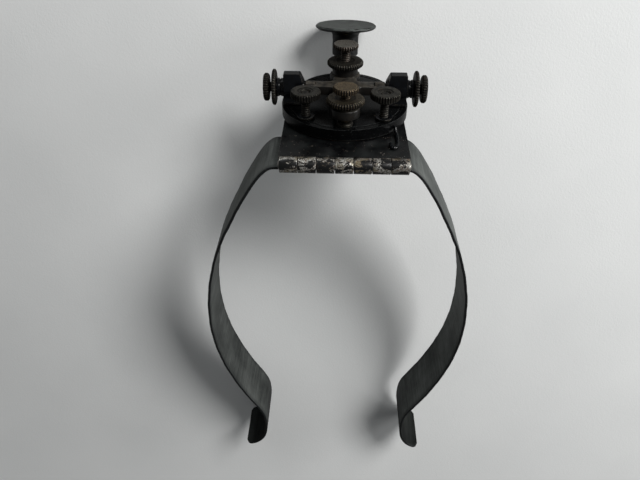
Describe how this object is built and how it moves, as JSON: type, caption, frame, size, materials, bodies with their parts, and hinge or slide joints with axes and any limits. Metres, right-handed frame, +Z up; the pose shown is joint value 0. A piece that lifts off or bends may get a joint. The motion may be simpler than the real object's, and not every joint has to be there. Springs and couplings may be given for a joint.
{
  "type": "leg clamp telegraph key",
  "caption": "Hand telegraph key on a black moulded base, hinged by its plate to a C-shaped spring steel band that clips round the operator's thigh.",
  "frame": {"origin": "a point on the flat inner face of the spring band, the face that rests on the thigh: under the middle of the hinge pin and half way across the band width. The hand-formed band itself sits 1.4 mm to -X of it", "axes": "+X along the hinge pin, +Y forward to the finger knob, +Z up away from the thigh"},
  "size_m": [0.1278, 0.0966, 0.2315],
  "materials": {
    "spring_steel": "blued spring steel, satin, fine scratches",
    "worn_steel": "bare steel with chipped black enamel and rust",
    "black_enamel": "gloss black enamel, chipped at the edges",
    "bakelite": "black moulded phenolic, worn gloss",
    "fibre": "vulcanised fibre",
    "black_metal": "black finished brass, worn",
    "aged_brass": "dark oxidised brass",
    "brass": "dull brass",
    "plated_steel": "dull nickel plate",
    "spring_wire": "drawn spring wire"
  },
  "bodies": {
    "clamp": {"clamp_band": "spring_steel", "clamp_hinge_leaf": "worn_steel", "leaf_rivets": "worn_steel", "hinge_pin": "worn_steel"},
    "key_plate": {"mounting_plate": "black_enamel", "insulating_sheet": "fibre", "key_base": "bakelite", "base_screws": "plated_steel", "lever_strap": "brass", "contact_strap": "brass", "trunnion_post_left": "black_metal", "trunnion_post_right": "black_metal", "post_screws": "plated_steel", "binding_stud_left": "aged_brass", "binding_stud_right": "aged_brass", "binding_washer_left": "aged_brass", "binding_washer_right": "aged_brass", "terminal_nuts": "plated_steel", "gap_anvil": "aged_brass", "lower_contact": "brass", "spring_cup": "aged_brass", "return_spring": "spring_wire", "cord_hook": "black_enamel"},
    "lever": {"key_lever": "black_metal", "knob": "bakelite", "knob_screw": "plated_steel", "upper_contact": "brass"},
    "gap_screw": {"gap_screw": "aged_brass"},
    "gap_locknut": {"gap_locknut": "aged_brass"},
    "spring_screw": {"spring_screw": "aged_brass"},
    "spring_locknut": {"spring_locknut": "aged_brass"},
    "pivot_screw_left": {"pivot_screw_left": "aged_brass"},
    "pivot_screw_right": {"pivot_screw_right": "aged_brass"},
    "pivot_locknut_left": {"pivot_locknut_left": "aged_brass"},
    "pivot_locknut_right": {"pivot_locknut_right": "aged_brass"},
    "binding_nut_left": {"binding_nut_left": "aged_brass"},
    "binding_nut_right": {"binding_nut_right": "aged_brass"}
  },
  "joints": [
    {"name": "plate_hinge", "type": "hinge", "parent": "clamp", "child": "key_plate", "pos_m": [0, -0.01325, 0.0024], "axis": [1, 0, 0], "range_deg": [0, 180]},
    {"name": "lever_press", "type": "hinge", "parent": "key_plate", "child": "lever", "pos_m": [0, 0.03215, 0.016], "axis": [-1, 0, 0], "range_deg": [0, 1.3], "stiffness_Nm_per_rad": 0.16, "springref_deg": -6.88, "deforming": ["return_spring"]},
    {"name": "gap_screw_turn", "type": "hinge", "parent": "lever", "child": "gap_screw", "pos_m": [0, 0.00875, 0.0174], "axis": [0, 0, 1], "continuous": true},
    {"name": "gap_locknut_turn", "type": "hinge", "parent": "lever", "child": "gap_locknut", "pos_m": [0, 0.00875, 0.0204], "axis": [0, 0, 1], "continuous": true},
    {"name": "spring_screw_turn", "type": "hinge", "parent": "lever", "child": "spring_screw", "pos_m": [0, 0.04475, 0.0174], "axis": [0, 0, 1], "continuous": true},
    {"name": "spring_locknut_turn", "type": "hinge", "parent": "lever", "child": "spring_locknut", "pos_m": [0, 0.04475, 0.0224], "axis": [0, 0, 1], "continuous": true},
    {"name": "pivot_screw_left_turn", "type": "hinge", "parent": "key_plate", "child": "pivot_screw_left", "pos_m": [-0.03, 0.03215, 0.016], "axis": [-1, 0, 0], "continuous": true},
    {"name": "pivot_locknut_left_turn", "type": "hinge", "parent": "key_plate", "child": "pivot_locknut_left", "pos_m": [-0.032, 0.03215, 0.016], "axis": [-1, 0, 0], "continuous": true},
    {"name": "pivot_screw_right_turn", "type": "hinge", "parent": "key_plate", "child": "pivot_screw_right", "pos_m": [0.03, 0.03215, 0.016], "axis": [1, 0, 0], "continuous": true},
    {"name": "pivot_locknut_right_turn", "type": "hinge", "parent": "key_plate", "child": "pivot_locknut_right", "pos_m": [0.032, 0.03215, 0.016], "axis": [1, 0, 0], "continuous": true},
    {"name": "binding_nut_left_turn", "type": "hinge", "parent": "key_plate", "child": "binding_nut_left", "pos_m": [-0.01685, 0.01525, 0.0194], "axis": [0, 0, 1], "continuous": true},
    {"name": "binding_nut_right_turn", "type": "hinge", "parent": "key_plate", "child": "binding_nut_right", "pos_m": [0.01685, 0.01525, 0.0194], "axis": [0, 0, 1], "continuous": true}
  ]
}
